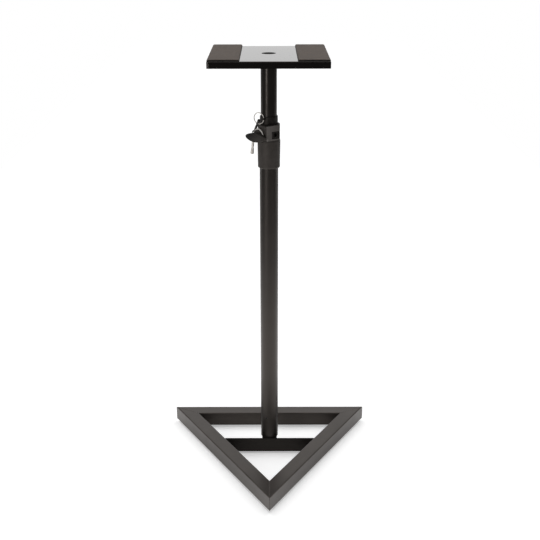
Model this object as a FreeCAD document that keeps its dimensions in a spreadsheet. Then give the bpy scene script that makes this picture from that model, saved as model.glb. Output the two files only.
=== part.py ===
import FreeCAD, Part
import math
import os
import re

import Sketcher

# A studio monitor stand: a welded triangle of square tube, a telescoping column with a clamp
# collar, and a folded top plate with two soft strips. Millimetres and degrees, +Z up. The origin
# is on the floor, in the middle of the base's footprint. +Y points from the base's front corner to
# its rear rail.

DRIVING = (
    # welded base
    ("base_side", 412),
    ("rail_section", 30),
    ("rail_wall", 1.5),
    ("rail_round", 2),
    ("foot_height", 5),
    ("foot_diameter", 22),
    ("foot_round", 1.2),
    ("angle_wall", 3),
    ("angle_height", 30),
    ("angle_rise", 0),
    ("angle_gap", 0.5),
    ("angle_margin", 4),
    # fixed column on its spigot
    ("spigot_length", 100),
    ("spigot_wall", 3),
    ("spigot_clear", 0.6),
    ("spigot_bevel", 1.5),
    ("column_diameter", 35),
    ("column_wall", 1.5),
    ("column_lift", 26),
    ("column_length", 654),
    ("column_screw_rise", 46.5),
    ("column_screw_turn", 248),
    ("column_screw_diameter", 5),
    ("column_screw_length", 5),
    ("column_screw_sink", 0.4),
    # clearances between pieces that sit in or slide through each other
    ("fit_clear", 0.1),
    ("slide_clear", 0.08),
    ("seat_gap", 0.3),
    # clamp collar, with its screw flat and its pin flat at right angles
    ("collar_turn", 217),
    ("collar_height", 83.5),
    ("collar_lip", 5),
    ("collar_wall_low", 3.2),
    ("collar_wall_high", 3.9),
    ("collar_bevel", 2.2),
    ("collar_bevel_height", 5),
    ("block_height", 29),
    ("block_wall", 3),
    ("block_ledge", 3),
    ("screw_flat_wall", 4.9),
    ("screw_flat_end", 4),
    ("pin_flat_wall", 3.4),
    ("pin_flat_end", 10.5),
    ("block_round", 1.6),
    ("screw_drop", 23),
    ("pin_drop", 19),
    ("boss_radius", 12),
    ("boss_height", 3),
    ("boss_rim", 14),
    ("boss_rim_width", 1.9),
    ("boss_foot", 8.6),
    ("collar_screw_rise", 20),
    ("collar_screw_diameter", 4),
    ("collar_screw_head", 7.5),
    ("collar_screw_head_height", 2.4),
    # guide bush with its tether ear
    ("bush_height", 15),
    ("bush_wall", 1.8),
    ("bush_flange", 1.2),
    ("bush_flange_width", 0.45),
    ("bush_bevel", 1),
    ("ear_lag", 22.5),
    ("ear_stand", 2),
    ("ear_radius", 3.2),
    ("ear_thickness", 3),
    # lock pin's sleeve in the pin flat
    ("sleeve_width", 17),
    ("sleeve_height", 13.8),
    ("sleeve_recess", 2.2),
    ("sleeve_sink", 0.5),
    ("sleeve_round", 2.5),
    ("sleeve_wall", 1.6),
    ("pin_hole_diameter", 7),
    ("pin_hole_pitch", 50),
    ("pin_hole_count", 9),
    # hand screw
    ("stud_diameter", 8),
    ("stud_bevel", 1),
    ("insert_wall", 2),
    ("clip_wire", 1.8),
    ("clip_opening", 150),
    ("clamp_pad_thickness", 2.4),
    ("clamp_pad_stem", 3),
    ("knob_gap", 0.5),
    ("wing_span", 65),
    ("wing_turn", 4),
    ("wing_height", 17),
    ("wing_depth", 8.6),
    ("wing_dome", 30),
    ("leaf_span", 69),
    ("hub_diameter", 15),
    # sliding upper tube
    ("mast_diameter", 30),
    ("mast_wall", 1.5),
    ("mast_show", 111.5),
    ("guide_height", 12),
    ("guide_stem", 25),
    ("guide_bevel", 1),
    ("plug_length", 28),
    # top plate with its strips
    ("plate_side", 215),
    ("plate_wall", 2),
    ("plate_edge", 12.4),
    ("plate_corner", 4),
    ("plate_bend", 2),
    ("socket_wall", 4),
    ("socket_height", 14),
    ("plate_screw_diameter", 10),
    ("plate_screw_head", 26),
    ("plate_screw_length", 20),
    ("plate_screw_dish", 0.9),
    ("plate_screw_key", 8),
    ("strip_width", 56),
    ("strip_thickness", 3),
    ("strip_inset", 0.8),
    ("strip_round", 1),
    # tether ring, link and lock pin
    ("ring_radius", 10.4),
    ("ring_wire", 1.6),
    ("ring_lag", 248),
    ("ring_hook", 255),
    ("link_pitch", 18.5),
    ("link_hole", 3.8),
    ("link_eye", 5.4),
    ("link_waist", 3.2),
    ("link_tail", 9),
    ("link_tail_width", 4.6),
    ("link_thickness", 2),
    ("link_lean", 33),
    ("hook_gap", 0.7),
    ("pin_lean", 8),
    ("pin_eye_radius", 4),
    ("pin_eye_wire", 1.8),
    ("pin_stem", 4.6),
    ("pin_stem_length", 23),
    ("pin_neck", 3.2),
    ("pin_neck_length", 1.6),
    ("pin_tip", 6.6),
    ("pin_tip_length", 13),
    ("pin_tip_round", 1.2),
)

DERIVED = (
    ("inradius", "base_side / (2 * sqrt(3))"),
    ("column_y", "inradius / 2"),
    ("rail_top", "foot_height + rail_section"),
    ("column_radius", "column_diameter / 2"),
    ("column_bore", "column_radius - column_wall"),
    ("spigot_radius", "column_bore - spigot_clear"),
    ("angle_back", "column_radius + angle_gap"),
    ("angle_front", "angle_back + angle_wall"),
    ("angle_rear", "spigot_radius + angle_margin"),
    ("angle_foot", "foot_height + angle_rise"),
    ("angle_top", "angle_foot + angle_height"),
    ("spigot_foot", "angle_foot + angle_wall"),
    ("spigot_top", "spigot_foot + spigot_length"),
    ("column_foot", "spigot_foot + column_lift"),
    ("column_top", "column_foot + column_length"),
    ("column_screw_z", "column_foot + column_screw_rise"),
    ("mast_radius", "mast_diameter / 2"),
    ("mast_bore", "mast_radius - mast_wall"),
    ("collar_bore", "column_radius + fit_clear"),
    ("collar_top", "column_top + collar_lip"),
    ("collar_foot", "collar_top - collar_height"),
    ("collar_radius_low", "collar_bore + collar_wall_low"),
    ("collar_radius_high", "collar_bore + collar_wall_high"),
    ("block_radius", "collar_bore + block_wall"),
    ("block_foot", "collar_top - block_height"),
    ("screw_flat", "collar_bore + screw_flat_wall"),
    ("pin_flat", "collar_bore + pin_flat_wall"),
    ("boss_end", "screw_flat + boss_height"),
    ("screw_z", "collar_top - screw_drop"),
    ("pin_z", "collar_top - pin_drop"),
    ("pin_turn", "collar_turn + 90"),
    ("collar_screw_z", "collar_foot + collar_screw_rise"),
    ("collar_screw_seat", "collar_radius_high"),
    ("insert_radius", "stud_diameter / 2 + insert_wall"),
    ("stud_bore", "stud_diameter / 2 + slide_clear"),
    ("bush_radius", "mast_radius + bush_wall"),
    ("bush_bore", "mast_radius + slide_clear"),
    ("bush_flange_radius", "collar_bore + bush_flange_width"),
    ("bush_top", "collar_top + bush_height"),
    ("sleeve_seat", "pin_flat - sleeve_recess"),
    ("sleeve_face", "pin_flat - sleeve_sink"),
    ("sleeve_radius", "pin_hole_diameter / 2 + sleeve_wall"),
    ("pad_face", "mast_radius + slide_clear"),
    ("pad_back", "pad_face + clamp_pad_thickness"),
    ("stud_tip", "pad_back + fit_clear"),
    ("knob_back", "boss_end + knob_gap"),
    ("wing_middle", "knob_back + wing_depth / 2"),
    ("leaf_radius", "(leaf_span ^ 2 + wing_height ^ 2) / (4 * wing_height)"),
    ("leaf_shift", "leaf_radius - wing_height / 2"),
    ("guide_foot", "spigot_top + seat_gap"),
    ("guide_shoulder", "guide_foot + guide_height"),
    ("mast_foot", "guide_shoulder + fit_clear"),
    ("mast_top", "bush_top + mast_show"),
    ("plate_top", "mast_top + plate_wall"),
    ("ear_turn", "collar_turn + ear_lag"),
    ("ear_reach", "bush_radius + ear_stand"),
    ("ear_hole", "ring_wire / 2 + seat_gap"),
    ("ring_turn", "collar_turn - ring_lag"),
    ("ring_z", "collar_top + seat_gap + ring_wire / 2 + ring_radius"),
    ("ring_x", "ear_reach * cos(ear_turn * 1 deg) - ring_radius * cos(ring_turn * 1 deg)"),
    ("ring_y", "column_y + ear_reach * sin(ear_turn * 1 deg) - ring_radius * sin(ring_turn * 1 deg)"),
    ("hook_side", "ring_radius * cos(ring_hook * 1 deg)"),
    ("hook_x", "ring_x + hook_side * cos(ring_turn * 1 deg)"),
    ("hook_y", "ring_y + hook_side * sin(ring_turn * 1 deg)"),
    ("hook_z", "ring_z + ring_radius * sin(ring_hook * 1 deg)"),
    ("link_upper", "link_hole / 2 - ring_wire / 2 - hook_gap"),
    ("link_lower", "link_upper + link_pitch"),
    ("eye_drop", "link_lower + link_hole / 2 - pin_eye_wire / 2 - hook_gap + pin_eye_radius"),
    ("eye_side", "eye_drop * sin(link_lean * 1 deg)"),
    ("eye_x", "hook_x - eye_side * cos(pin_turn * 1 deg)"),
    ("eye_y", "hook_y - eye_side * sin(pin_turn * 1 deg)"),
    ("eye_z", "hook_z - eye_drop * cos(link_lean * 1 deg)"),
)

ALIASES = {name for name, _ in DRIVING + DERIVED}

doc = FreeCAD.newDocument("monitor_stand")
sheet = doc.addObject("Spreadsheet::Sheet", "Sizes")
for row, (alias, value) in enumerate(DRIVING + DERIVED, start=1):
    sheet.set(f"A{row}", alias)
    sheet.setAlias(f"B{row}", alias)
    sheet.set(f"B{row}", f"={value}" if isinstance(value, str) else str(value))
doc.recompute()

pieces = []


def bound(text):
    """An expression on the sheet's cells, from one written with their plain names."""
    return re.sub(r"[a-z]\w*", lambda word: f"Sizes.{word[0]}" if word[0] in ALIASES else word[0], text)


def size(text):
    """The present value of an expression on the sheet's cells."""
    value = sheet.evalExpression(bound(text).replace("Sizes.", ""))
    return float(getattr(value, "Value", value))


def place(piece, x="0", y="column_y", z="0", yaw="0", pitch="0", roll="0"):
    """Puts a piece at x, y, z, turned by roll about X, then pitch about Y, then yaw about Z."""
    where = f"placement(vector({x}; {y}; {z}); rotation({yaw}; {pitch}; {roll}))"
    piece.setExpression("Placement", bound(where))


def keep(piece, label, **where):
    """Names a finished piece, places it and puts it on the list of pieces to write."""
    piece.Label = label
    if where:
        place(piece, **where)
    pieces.append(piece)
    return piece


def new_body(name):
    return doc.addObject("PartDesign::Body", f"{name}_body")


def new_sketch(body, name, role, offset="0"):
    """A sketch on one of the body's own planes, moved along the plane's normal by offset."""
    sketch = body.newObject("Sketcher::SketchObject", name)
    plane = next(item for item in body.Origin.OriginFeatures if item.Role == role)
    sketch.AttachmentSupport = [(plane, "")]
    sketch.MapMode = "FlatFace"
    sketch.setExpression("AttachmentOffset.Base.z", bound(offset))
    return sketch


def pin_point(sketch, geometry, point, x, y):
    """Ties a point of a sketch to its distances from the sketch's origin."""
    for kind, text in (("DistanceX", x), ("DistanceY", y)):
        number = sketch.addConstraint(Sketcher.Constraint(kind, -1, 1, geometry, point, size(text)))
        sketch.setExpression(f"Constraints[{number}]", bound(text))


def outline(sketch, corners):
    """A closed outline of straight lines through corners, given as pairs of expressions."""
    first = sketch.GeometryCount
    points = [FreeCAD.Vector(size(x), size(y), 0) for x, y in corners]
    count = len(corners)
    for index in range(count):
        sketch.addGeometry(Part.LineSegment(points[index], points[(index + 1) % count]))
    for index, (x, y) in enumerate(corners):
        following = first + (index + 1) % count
        sketch.addConstraint(Sketcher.Constraint("Coincident", first + index, 2, following, 1))
        pin_point(sketch, first + index, 1, x, y)


def rectangle(sketch, low, high):
    """An upright rectangle between two opposite corners."""
    outline(sketch, [low, (high[0], low[1]), high, (low[0], high[1])])


def circle(sketch, x, y, radius):
    centre = FreeCAD.Vector(size(x), size(y), 0)
    number = sketch.addGeometry(Part.Circle(centre, FreeCAD.Vector(0, 0, 1), size(radius)))
    pin_point(sketch, number, 3, x, y)
    tie = sketch.addConstraint(Sketcher.Constraint("Radius", number, size(radius)))
    sketch.setExpression(f"Constraints[{tie}]", bound(radius))


def pad(body, name, sketch, length, side="One side"):
    feature = body.newObject("PartDesign::Pad", name)
    feature.Profile = sketch
    feature.setExpression("Length", bound(length))
    feature.SideType = side
    return feature


def pocket(body, name, sketch, length=None, side="One side", forward=False):
    """Cuts a sketch into its body, against the sketch's normal unless forward. No length: right through."""
    feature = body.newObject("PartDesign::Pocket", name)
    feature.Profile = sketch
    feature.SideType = side
    feature.Reversed = forward
    if length is None:
        feature.Type = "ThroughAll"
    else:
        feature.setExpression("Length", bound(length))
    return feature


def turned(body, name, corners, kind="PartDesign::Revolution"):
    """A body of revolution about the body's Z axis, from corners given as radius and height."""
    sketch = new_sketch(body, f"{name}_profile", "XZ_Plane")
    outline(sketch, corners)
    feature = body.newObject(kind, name)
    feature.Profile = sketch
    feature.ReferenceAxis = (sketch, ["V_Axis"])
    feature.Angle = 360
    return feature


def edge_names(feature, chosen):
    """Names of the edges of a feature whose middle point and direction pass a test."""
    doc.recompute()
    names = []
    for index, edge in enumerate(feature.Shape.Edges, start=1):
        first, last = edge.ParameterRange
        middle = edge.valueAt((first + last) / 2)
        if chosen(middle, edge.tangentAt((first + last) / 2), edge):
            names.append(f"Edge{index}")
    return names


def dress(body, name, kind, measure, feature, amount, chosen):
    """A fillet or a chamfer on the chosen edges of a feature."""
    names = edge_names(feature, chosen)
    finish = body.newObject(f"PartDesign::{kind}", name)
    finish.Base = (feature, names)
    finish.setExpression(measure, bound(amount))
    return finish


def fillet(body, name, feature, radius, chosen):
    return dress(body, name, "Fillet", "Radius", feature, radius, chosen)


def chamfer(body, name, feature, amount, chosen):
    return dress(body, name, "Chamfer", "Size", feature, amount, chosen)


def near(value, target):
    return abs(value - target) < 0.01


def rod(name, radius, length, **where):
    """A plain round bar along its own Z axis."""
    bar = doc.addObject("Part::Cylinder", name)
    bar.setExpression("Radius", bound(radius))
    bar.setExpression("Height", bound(length))
    place(bar, **where)
    return bar


def minus(name, base, tools):
    """One solid less others."""
    cut = doc.addObject("Part::Cut", name)
    cut.Base = base
    cut.Tool = tools[0] if len(tools) == 1 else plus(f"{name}_tools", tools)
    return cut


def shared(name, base, tool):
    """The part that two solids share."""
    common = doc.addObject("Part::Common", name)
    common.Base = base
    common.Tool = tool
    return common


def plus(name, solids):
    """Several solids joined."""
    joined = doc.addObject("Part::MultiFuse", name)
    joined.Shapes = solids
    return joined


# Welded base: three equal square tubes with mitred ends, built as the rear rail and turned about
# the column's axis.

def make_rail(label, turn):
    body = new_body(label)
    section = new_sketch(body, f"{label}_section", "YZ_Plane")
    rectangle(section, ("inradius - rail_section", "foot_height"), ("inradius", "rail_top"))
    bar = pad(body, f"{label}_bar", section, "base_side", "Symmetric")
    half = size("base_side / 2")
    fillet(
        body, f"{label}_rounding", bar, "rail_round",
        lambda middle, along, edge: near(abs(along.x), 1) and not near(abs(middle.x), half),
    )
    hollow = new_sketch(body, f"{label}_hollow", "YZ_Plane")
    rectangle(
        hollow,
        ("inradius - rail_section + rail_wall", "foot_height + rail_wall"),
        ("inradius - rail_wall", "rail_top - rail_wall"),
    )
    pocket(body, f"{label}_bore", hollow, side="Symmetric")
    ends = new_sketch(body, f"{label}_ends", "XY_Plane")
    for hand in ("", "-"):
        outline(
            ends,
            [
                (f"{hand}base_side / 2", "inradius"),
                (f"{hand}(base_side / 2 - rail_section * sqrt(3))", "inradius - rail_section"),
                (f"{hand}base_side / 2", "inradius - rail_section"),
            ],
        )
    pocket(body, f"{label}_mitres", ends, side="Symmetric")
    keep(body, label, yaw=turn)


for rail_label, rail_turn in (("rear_rail", "0"), ("left_rail", "120"), ("right_rail", "240")):
    make_rail(rail_label, rail_turn)


# Rubber feet under the middle of each mitred corner.

def make_foot(label, turn):
    body = new_body(label)
    reach = "2 * (inradius - rail_section / 2)"
    disc = new_sketch(body, f"{label}_disc", "XY_Plane")
    circle(disc, reach, "0", "foot_diameter / 2")
    block = pad(body, f"{label}_block", disc, "foot_height")
    fillet(
        body, f"{label}_edge", block, "foot_round",
        lambda middle, along, edge: near(middle.z, 0) and len(edge.Vertexes) == 1,
    )
    keep(body, label, yaw=turn)


for foot_label, foot_turn in (("foot_right", "30"), ("foot_left", "150"), ("foot_front", "270")):
    make_foot(foot_label, foot_turn)


# Steel angle between the left and right rails: its upright leg in front, its flat leg behind it
# under the column. The ends follow the rails' inner faces.

def rail_side(y):
    """Half the gap between the side rails' inner faces at a distance y behind the column."""
    return f"(inradius - rail_section + ({y}) / 2) * 2 / sqrt(3)"


def make_cross_angle():
    body = new_body("cross_angle")
    plan = new_sketch(body, "angle_plan", "XY_Plane", "angle_foot")
    front, rear = "-angle_front", "angle_rear"
    outline(
        plan,
        [
            (f"-{rail_side(front)}", front),
            (rail_side(front), front),
            (rail_side(rear), rear),
            (f"-{rail_side(rear)}", rear),
        ],
    )
    pad(body, "angle_block", plan, "angle_height")
    behind = new_sketch(body, "angle_behind", "XY_Plane", "angle_top")
    rectangle(behind, ("-base_side / 2", "-angle_back"), ("base_side / 2", "angle_rear + angle_wall"))
    pocket(body, "angle_inside", behind, "angle_height - angle_wall")
    keep(body, "cross_angle", x="0")


make_cross_angle()


# Spigot welded on the angle's flat leg, with the tapped hole for the column's screw.

def make_column_spigot():
    body = new_body("column_spigot")
    turned(
        body, "spigot_tube",
        [
            ("spigot_radius - spigot_wall", "spigot_foot"),
            ("spigot_radius", "spigot_foot"),
            ("spigot_radius", "spigot_top - spigot_bevel"),
            ("spigot_radius - spigot_bevel", "spigot_top"),
            ("spigot_radius - spigot_wall", "spigot_top"),
        ],
    )
    hole = new_sketch(body, "spigot_hole", "YZ_Plane")
    circle(hole, "0", "column_screw_z", "column_screw_diameter / 2")
    pocket(body, "spigot_tapping", hole, "column_diameter", forward=True)
    keep(body, "column_spigot", yaw="column_screw_turn")


make_column_spigot()


# Fixed column: a round tube with holes for its screw, the collar's screw, the clamp pad and the
# lock pin.

def cross_rod(name, radius, height, turn, reach="column_diameter", start="0"):
    """A level bar from start outwards, in the direction turn, at a height on the column's axis."""
    bar = rod(f"{name}_bar", radius, f"{reach} - ({start})", z=height, yaw=turn, pitch="90")
    if start == "0":
        return bar
    shift = f"({start})"
    place(
        bar, x=f"{shift} * cos(({turn}) * 1 deg)", y=f"column_y + {shift} * sin(({turn}) * 1 deg)",
        z=height, yaw=turn, pitch="90",
    )
    return bar


def make_tube(name, radius, bore, foot, top):
    outside = rod(f"{name}_outside", radius, f"{top} - {foot}", z=foot)
    inside = rod(f"{name}_inside", bore, f"{top} - {foot}", z=foot)
    return minus(f"{name}_tube", outside, [inside])


def make_outer_column():
    tube = make_tube("column", "column_radius", "column_bore", "column_foot", "column_top")
    holes = [
        cross_rod("column_screw_hole", "column_screw_diameter / 2", "column_screw_z", "column_screw_turn"),
        cross_rod("collar_screw_hole", "collar_screw_diameter / 2", "collar_screw_z", "collar_turn + 180"),
        cross_rod("pad_hole", "stud_bore", "screw_z", "collar_turn"),
        cross_rod(
            "column_pin_hole", "pin_hole_diameter / 2", "pin_z", "pin_turn",
            start="-column_diameter",
        ),
    ]
    keep(minus("outer_column_cut", tube, holes), "outer_column")


make_outer_column()


def make_column_screw():
    """Set screw, sunk below the column's surface and threaded into the spigot."""
    body = new_body("column_screw")
    radius = "column_screw_diameter / 2 - fit_clear / 2"
    outer = "column_radius - column_screw_sink"
    turned(
        body, "column_screw_stud",
        [
            ("0", f"{outer} - column_screw_length"),
            (radius, f"{outer} - column_screw_length"),
            (radius, outer),
            ("column_screw_diameter / 4", outer),
            ("column_screw_diameter / 4", f"{outer} - column_screw_length / 2"),
            ("0", f"{outer} - column_screw_length / 2"),
        ],
    )
    keep(body, "column_screw", z="column_screw_z", yaw="column_screw_turn", pitch="90")


make_column_screw()


# Clamp collar, moulded in one piece: a tapered sleeve, a block with two flats at right angles, a
# rimmed boss with a flat underside for the hand screw, and a square recess for the lock pin's sleeve.
# Its own X axis points along the hand screw and its own Y axis along the lock pin.

def make_collar():
    body = new_body("collar")
    turned(
        body, "collar_sleeve",
        [
            ("collar_bore", "collar_foot"),
            ("collar_radius_low - collar_bevel", "collar_foot"),
            ("collar_radius_low", "collar_foot + collar_bevel_height"),
            ("collar_radius_high", "block_foot - block_ledge"),
            ("block_radius", "block_foot"),
            ("block_radius", "collar_top"),
            ("collar_bore", "collar_top"),
        ],
    )
    plan = new_sketch(body, "collar_plan", "XY_Plane", "block_foot")
    rectangle(plan, ("-pin_flat_end", "-screw_flat_end"), ("screw_flat", "pin_flat"))
    block = pad(body, "collar_block", plan, "block_height")
    corner_x, corner_y = size("screw_flat"), size("pin_flat")
    rounded = fillet(
        body, "collar_corner", block, "block_round",
        lambda middle, along, edge: near(abs(along.z), 1)
        and (near(middle.x, corner_x) or near(middle.y, corner_y)),
    )
    top = size("collar_top")
    inside = size("collar_bore + block_wall / 2")
    chamfer(
        body, "collar_edges", rounded, "block_round / 2",
        lambda middle, along, edge: near(middle.z, top) and math.hypot(middle.x, middle.y) > inside,
    )
    boss = new_sketch(body, "collar_boss_face", "YZ_Plane")
    circle(boss, "0", "screw_z", "boss_radius")
    pad(body, "collar_boss", boss, "boss_end")
    rim = new_sketch(body, "collar_rim_face", "YZ_Plane", "boss_end - boss_rim_width")
    circle(rim, "0", "screw_z", "boss_rim")
    pad(body, "collar_rim", rim, "boss_rim_width")
    chord = new_sketch(body, "collar_boss_chord", "YZ_Plane", "boss_end")
    rectangle(chord, ("-boss_rim", "screw_z - boss_rim - 1"), ("boss_rim", "screw_z - boss_foot"))
    pocket(body, "collar_boss_underside", chord, "boss_height")
    bore = new_sketch(body, "collar_bore_face", "XY_Plane", "collar_foot")
    circle(bore, "0", "0", "collar_bore")
    pocket(body, "collar_bore_cut", bore, "collar_height", forward=True)
    insert = new_sketch(body, "collar_insert_face", "YZ_Plane")
    circle(insert, "0", "screw_z", "insert_radius")
    pocket(body, "collar_insert_hole", insert, "boss_end", forward=True)
    recess = new_sketch(body, "collar_recess_face", "XZ_Plane", "-pin_flat")
    half_width, half_height = "sleeve_width / 2 + fit_clear", "sleeve_height / 2 + fit_clear"
    rectangle(
        recess, (f"-({half_width})", f"pin_z - ({half_height})"), (half_width, f"pin_z + {half_height}")
    )
    pocket(body, "collar_recess", recess, "sleeve_recess", forward=True)
    through = new_sketch(body, "collar_sleeve_face", "XZ_Plane", "-pin_flat")
    circle(through, "0", "pin_z", "sleeve_radius + fit_clear")
    pocket(body, "collar_sleeve_hole", through, "pin_flat", forward=True)
    far_side = new_sketch(body, "collar_pin_face", "XZ_Plane")
    circle(far_side, "0", "pin_z", "pin_hole_diameter / 2")
    pocket(body, "collar_pin_hole", far_side, "pin_flat + collar_wall_high", forward=True)
    screw = new_sketch(body, "collar_screw_face", "YZ_Plane")
    circle(screw, "0", "collar_screw_z", "collar_screw_diameter / 2")
    pocket(body, "collar_screw_hole_cut", screw, "collar_radius_high")
    keep(body, "collar", yaw="collar_turn")


make_collar()


def make_collar_screw():
    """Pan head screw that holds the collar on the column, opposite the hand screw."""
    body = new_body("collar_screw")
    radius = "collar_screw_diameter / 2 - fit_clear / 2"
    head_end = "collar_screw_seat + collar_screw_head_height"
    turned(
        body, "collar_screw_shape",
        [
            ("0", "column_bore"),
            (radius, "column_bore"),
            (radius, "collar_screw_seat"),
            ("collar_screw_head / 2", "collar_screw_seat"),
            ("collar_screw_head / 2", "collar_screw_seat + collar_screw_head_height / 2"),
            ("collar_screw_head / 3", head_end),
            ("0", head_end),
        ],
    )
    keep(body, "collar_screw", z="collar_screw_z", yaw="collar_turn + 180", pitch="90")


make_collar_screw()


# Guide bush: a flanged plastic ring that stands on the column's end, closes the collar's top and
# guides the upper tube. A small ear with an upright hole holds the tether ring.

def make_guide_bush():
    body = new_body("guide_bush")
    turned(
        body, "bush_ring",
        [
            ("bush_bore", "column_top"),
            ("collar_bore - fit_clear", "column_top"),
            ("collar_bore - fit_clear", "collar_top"),
            ("bush_flange_radius", "collar_top"),
            ("bush_flange_radius", "collar_top + bush_flange"),
            ("bush_radius", "collar_top + bush_flange"),
            ("bush_radius", "bush_top - bush_bevel"),
            ("bush_radius - bush_bevel", "bush_top"),
            ("bush_bore", "bush_top"),
        ],
    )
    ear = new_sketch(body, "bush_ear_face", "XY_Plane", "ring_z - ear_thickness / 2")
    circle(ear, "ear_reach", "0", "ear_radius")
    pad(body, "bush_ear", ear, "ear_thickness")
    hole = new_sketch(body, "bush_ear_hole_face", "XY_Plane", "ring_z")
    circle(hole, "ear_reach", "0", "ear_hole")
    pocket(body, "bush_ear_hole", hole, "2 * ear_thickness", side="Symmetric")
    bore = new_sketch(body, "bush_bore_face", "XY_Plane", "ring_z")
    circle(bore, "0", "0", "bush_bore")
    pocket(body, "bush_bore_cut", bore, "2 * ear_thickness", side="Symmetric")
    keep(body, "guide_bush", yaw="ear_turn")


make_guide_bush()


# Lock pin's sleeve: a square head in the collar's recess with a round tail through the wall.

def make_pin_guide():
    body = new_body("pin_guide")
    tail = new_sketch(body, "sleeve_tail_face", "XY_Plane", "collar_bore + fit_clear")
    circle(tail, "0", "0", "sleeve_radius")
    pad(body, "sleeve_tail", tail, "sleeve_seat - collar_bore - fit_clear")
    head = new_sketch(body, "sleeve_head_face", "XY_Plane", "sleeve_seat")
    rectangle(
        head, ("-sleeve_height / 2", "-sleeve_width / 2"), ("sleeve_height / 2", "sleeve_width / 2")
    )
    block = pad(body, "sleeve_head_block", head, "sleeve_face - sleeve_seat")
    corners = fillet(
        body, "sleeve_corners", block, "sleeve_round",
        lambda middle, along, edge: near(abs(along.z), 1) and edge.Curve.TypeId == "Part::GeomLine"
        and math.hypot(middle.x, middle.y) > size("sleeve_height / 2"),
    )
    front = size("sleeve_face")
    chamfer(
        body, "sleeve_front", corners, "sleeve_sink",
        lambda middle, along, edge: near(middle.z, front),
    )
    hole = new_sketch(body, "sleeve_hole_face", "XY_Plane")
    circle(hole, "0", "0", "pin_hole_diameter / 2")
    pocket(body, "sleeve_hole", hole, forward=True)
    keep(body, "pin_guide", z="pin_z", yaw="pin_turn", pitch="90")


make_pin_guide()


# Hand screw's fixed parts: a threaded insert in the collar's boss, and an open spring clip of bright
# wire that grips the boss's rim.

def make_screw_insert():
    body = new_body("screw_insert")
    radius = "insert_radius - fit_clear / 2"
    start = "collar_bore + seat_gap"
    turned(
        body, "insert_ring",
        [("stud_bore", start), (radius, start), (radius, "boss_end"), ("stud_bore", "boss_end")],
    )
    keep(body, "screw_insert", z="screw_z", yaw="collar_turn", pitch="90")


def make_boss_clip():
    body = new_body("boss_clip")
    section = new_sketch(body, "clip_section", "XZ_Plane")
    bend_radius = "boss_rim + fit_clear + clip_wire / 2"
    circle(section, f"-({bend_radius})", "boss_end - boss_rim_width / 2", "clip_wire / 2")
    bend = body.newObject("PartDesign::Revolution", "clip_bend")
    bend.Profile = section
    bend.ReferenceAxis = (section, ["V_Axis"])
    bend.Midplane = True
    bend.setExpression("Angle", bound("360 - clip_opening"))
    keep(body, "boss_clip", z="screw_z", yaw="collar_turn", pitch="90")


make_screw_insert()
make_boss_clip()


# Hand screw's moving parts: a pressure pad with a stem, a threaded stud and a wing knob on it, whose
# leaf is a flat dome inside two arcs that meet at its tips.

def make_clamp_pad():
    body = new_body("clamp_pad")
    turned(
        body, "clamp_pad_shape",
        [
            ("0", "pad_face"),
            ("stud_diameter / 2 - stud_bevel / 2", "pad_face"),
            ("stud_diameter / 2", "pad_face + stud_bevel / 2"),
            ("stud_diameter / 2", "pad_back"),
            ("clamp_pad_stem / 2", "pad_back"),
            ("clamp_pad_stem / 2", "stud_tip + clamp_pad_stem"),
            ("0", "stud_tip + clamp_pad_stem"),
        ],
    )
    keep(body, "clamp_pad", z="screw_z", yaw="collar_turn", pitch="90")


def make_clamp_stud():
    body = new_body("clamp_stud")
    socket_radius = "clamp_pad_stem / 2 + slide_clear"
    socket_end = "stud_tip + clamp_pad_stem + fit_clear"
    turned(
        body, "clamp_stud_shape",
        [
            (socket_radius, "stud_tip"),
            ("stud_diameter / 2 - stud_bevel", "stud_tip"),
            ("stud_diameter / 2", "stud_tip + stud_bevel"),
            ("stud_diameter / 2", "wing_middle"),
            ("0", "wing_middle"),
            ("0", socket_end),
            (socket_radius, socket_end),
        ],
    )
    keep(body, "clamp_stud", z="screw_z", yaw="collar_turn", pitch="90")


def make_wing_knob():
    wing = doc.addObject("Part::Ellipsoid", "wing_dome")
    wing.setExpression("Radius1", bound("wing_depth / 2"))
    wing.setExpression("Radius2", bound("wing_dome / 2"))
    wing.setExpression("Radius3", bound("wing_span / 2"))
    place(wing, y="0", z="wing_middle", yaw="wing_turn")
    for side, sign in (("upper", ""), ("lower", "-")):
        edge = rod(
            f"wing_{side}_edge", "leaf_radius", "wing_depth + 2",
            x=f"{sign}leaf_shift * cos(wing_turn * 1 deg)",
            y=f"{sign}leaf_shift * sin(wing_turn * 1 deg)",
            z="knob_back - 1",
        )
        wing = shared(f"wing_{side}_leaf", wing, edge)
    hub = new_body("wing_hub")
    turned(
        hub, "wing_hub_shape",
        [
            ("0", "knob_back"),
            ("hub_diameter / 2", "knob_back"),
            ("hub_diameter / 2", "wing_middle"),
            ("0", "wing_middle"),
        ],
    )
    socket = rod("wing_socket", "stud_diameter / 2 + fit_clear / 2", "wing_middle", y="0")
    knob = minus("wing_knob_cut", plus("wing_solid", [wing, hub]), [socket])
    keep(knob, "wing_knob", z="screw_z", yaw="collar_turn", pitch="90")


make_clamp_pad()
make_clamp_stud()
make_wing_knob()


# Sliding upper tube with its row of pin holes, a plastic guide at its foot and a tapped plug at
# its top.

def make_inner_tube():
    tube = make_tube("mast", "mast_radius", "mast_bore", "mast_foot", "mast_top")
    holes = [
        cross_rod(
            f"mast_pin_hole_{number}", "pin_hole_diameter / 2", f"pin_z - {number} * pin_hole_pitch",
            "pin_turn", reach="mast_diameter", start="-mast_diameter",
        )
        for number in range(int(size("pin_hole_count")))
    ]
    keep(minus("inner_tube_cut", tube, holes), "inner_tube")


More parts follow.
